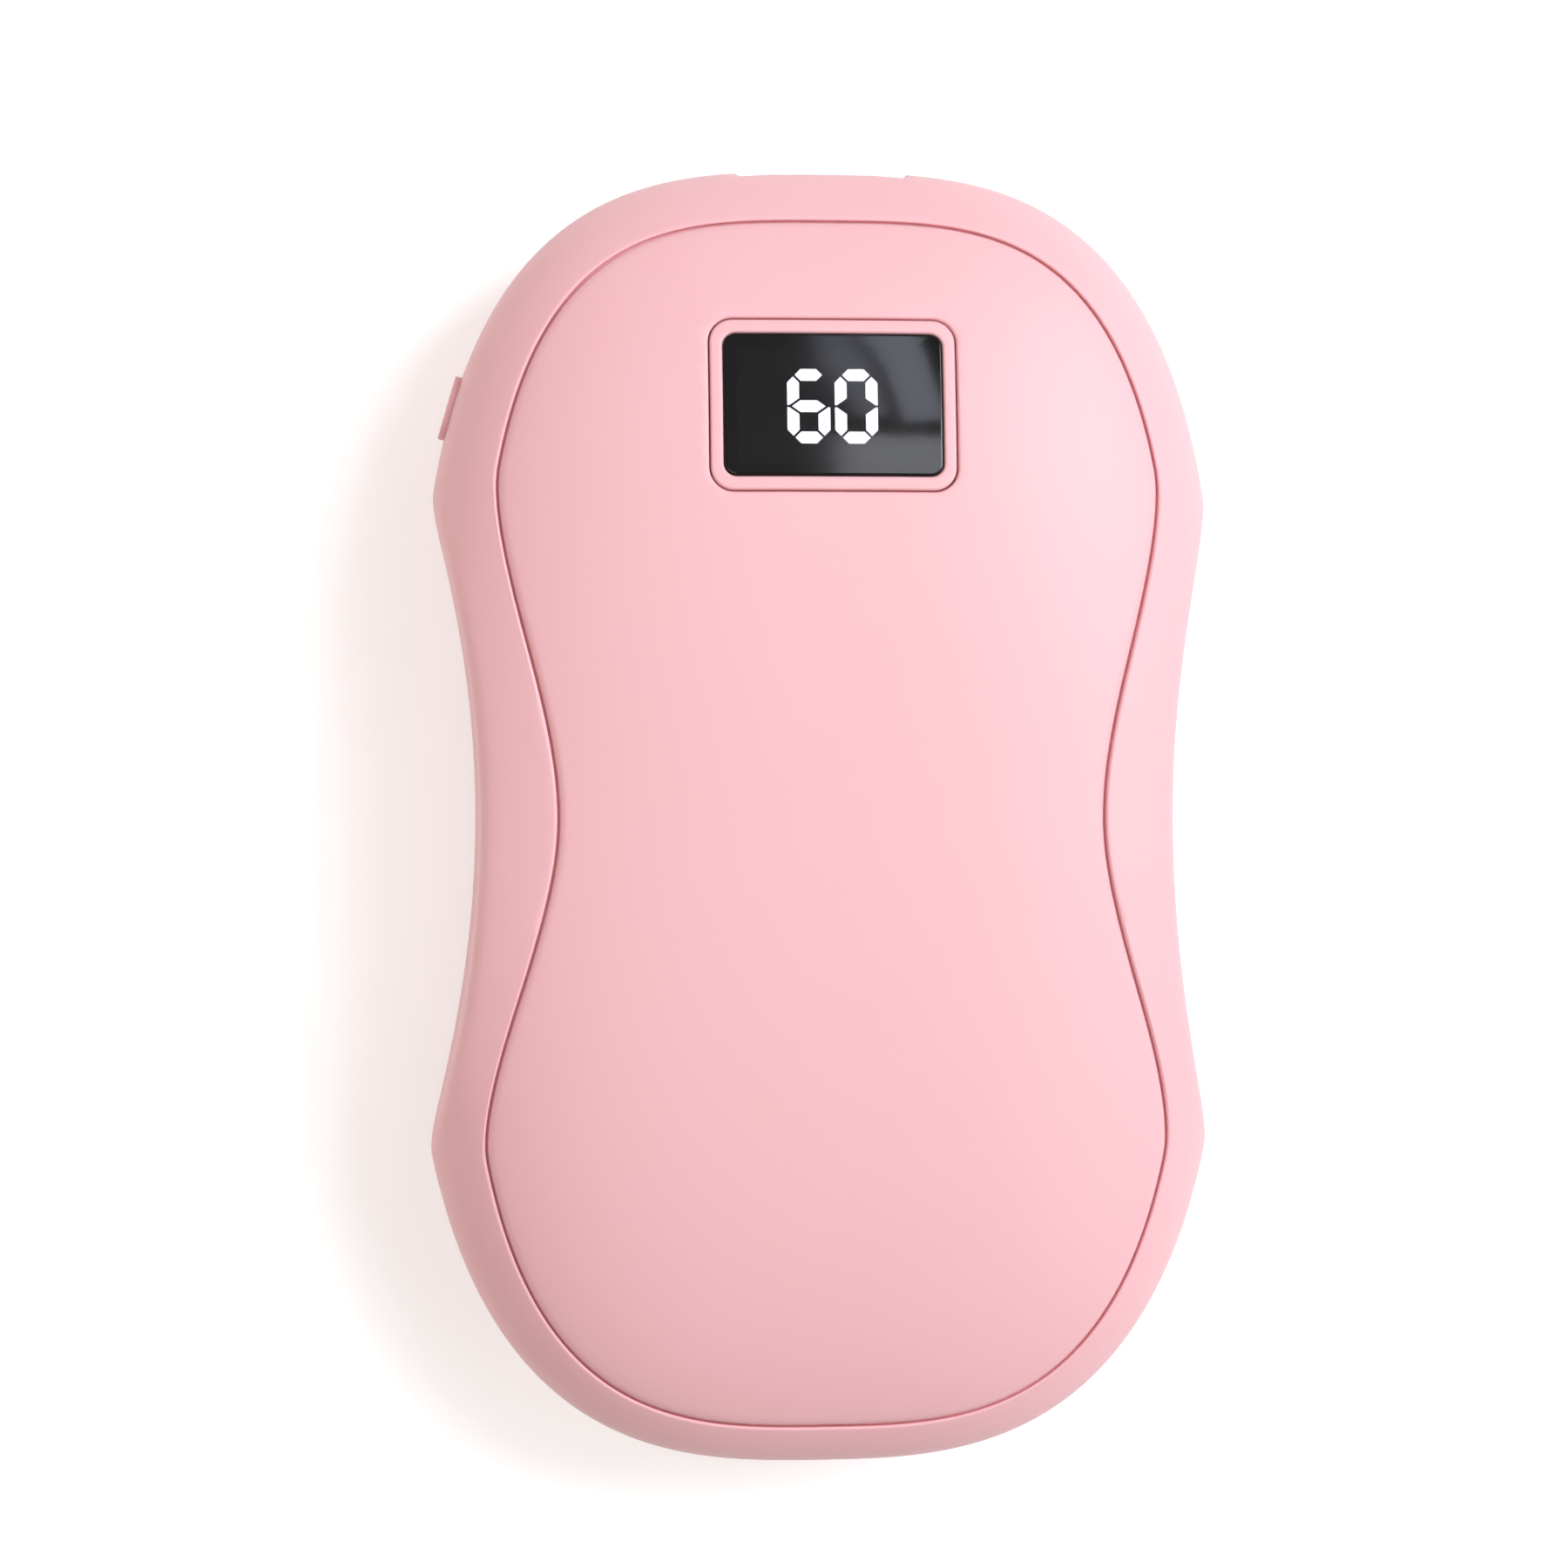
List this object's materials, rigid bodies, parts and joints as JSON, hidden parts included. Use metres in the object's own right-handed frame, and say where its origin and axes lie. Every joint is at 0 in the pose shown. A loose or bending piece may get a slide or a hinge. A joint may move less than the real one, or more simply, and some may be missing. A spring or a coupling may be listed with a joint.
{
  "type": "rechargeable hand warmer",
  "caption": "Soft pebble-shaped rechargeable hand warmer with scooped sides, a heating cover on each face, a digit display, a side power button and a charging socket in one end.",
  "frame": {"origin": "middle of the flat on the back that the body rests on, which is the bottom centre of its box", "axes": "+Z out of the display face, +Y towards the socket end, +X to the right as the display is read"},
  "size_m": [0.0692, 0.1148, 0.027],
  "materials": {
    "shell_pink": "soft-touch satin",
    "cover_pink": "soft-touch satin",
    "window_smoke": "polished, tinted nearly black",
    "module_black": "matt",
    "segment_lit": "glowing diffuser",
    "segment_unlit": "dark diffuser",
    "socket_steel": "stamped and nickel plated",
    "light_clear": "frosted light rod",
    "tongue_black": "moulded",
    "contact_gold": "gold plated",
    "board_green": "solder mask",
    "board_blue": "solder mask",
    "chip_black": "moulded epoxy",
    "capacitor_tan": "fired",
    "connector_white": "moulded",
    "pouch_silver": "laminated foil",
    "spreader_aluminium": "rolled sheet",
    "film_amber": "polyimide film",
    "foam_grey": "closed-cell foam",
    "tape_white": "adhesive",
    "wire_red": "silicone",
    "wire_black": "silicone",
    "wire_tinned": "tinned",
    "sensor_black": "epoxy bead",
    "switch_black": "moulded",
    "plunger_grey": "moulded",
    "screw_steel": "zinc plated"
  },
  "bodies": {
    "housing": {"front_shell": "shell_pink", "back_shell": "shell_pink", "front_cover": "cover_pink", "back_cover": "cover_pink", "front_tape": "tape_white", "back_tape": "tape_white", "front_spreader": "spreader_aluminium", "back_spreader": "spreader_aluminium", "front_heater": "film_amber", "back_heater": "film_amber", "front_foam": "foam_grey", "back_foam": "foam_grey", "display_bezel": "cover_pink", "display_window": "window_smoke", "display_module": "module_black", "lit_segments": "segment_lit", "unlit_segments": "segment_unlit", "display_board": "board_green", "display_ribbon": "film_amber", "display_socket": "connector_white", "switch_body": "switch_black", "port_plate": "shell_pink", "usb_shell": "socket_steel", "usb_tongue": "tongue_black", "usb_contacts": "contact_gold", "charge_light": "light_clear", "charge_led": "connector_white", "main_board": "board_green", "power_inductor": "chip_black", "board_chips": "chip_black", "capacitors": "capacitor_tan", "battery_socket": "connector_white", "battery_cell": "pouch_silver", "battery_board": "board_blue", "battery_lead_red": "wire_red", "battery_lead_black": "wire_black", "front_heater_leads": "wire_tinned", "back_heater_leads": "wire_tinned", "front_sensor": "sensor_black", "back_sensor": "sensor_black", "case_screws": "screw_steel"},
    "button": {"power_button": "shell_pink"},
    "plunger": {"switch_plunger": "plunger_grey"}
  },
  "joints": [
    {"name": "button_press", "type": "slide", "parent": "housing", "child": "button", "axis": [0.9595, -0.2818, 0], "range_m": [0, 0.0004], "stiffness_N_per_m": 3000, "springref_m": -0.0001},
    {"name": "plunger_press", "type": "slide", "parent": "housing", "child": "plunger", "axis": [0.9595, -0.2818, 0], "range_m": [0, 0.0004]}
  ],
  "couplings": [
    {"joint": "plunger_press", "follows": "button_press", "ratio": 1}
  ]
}
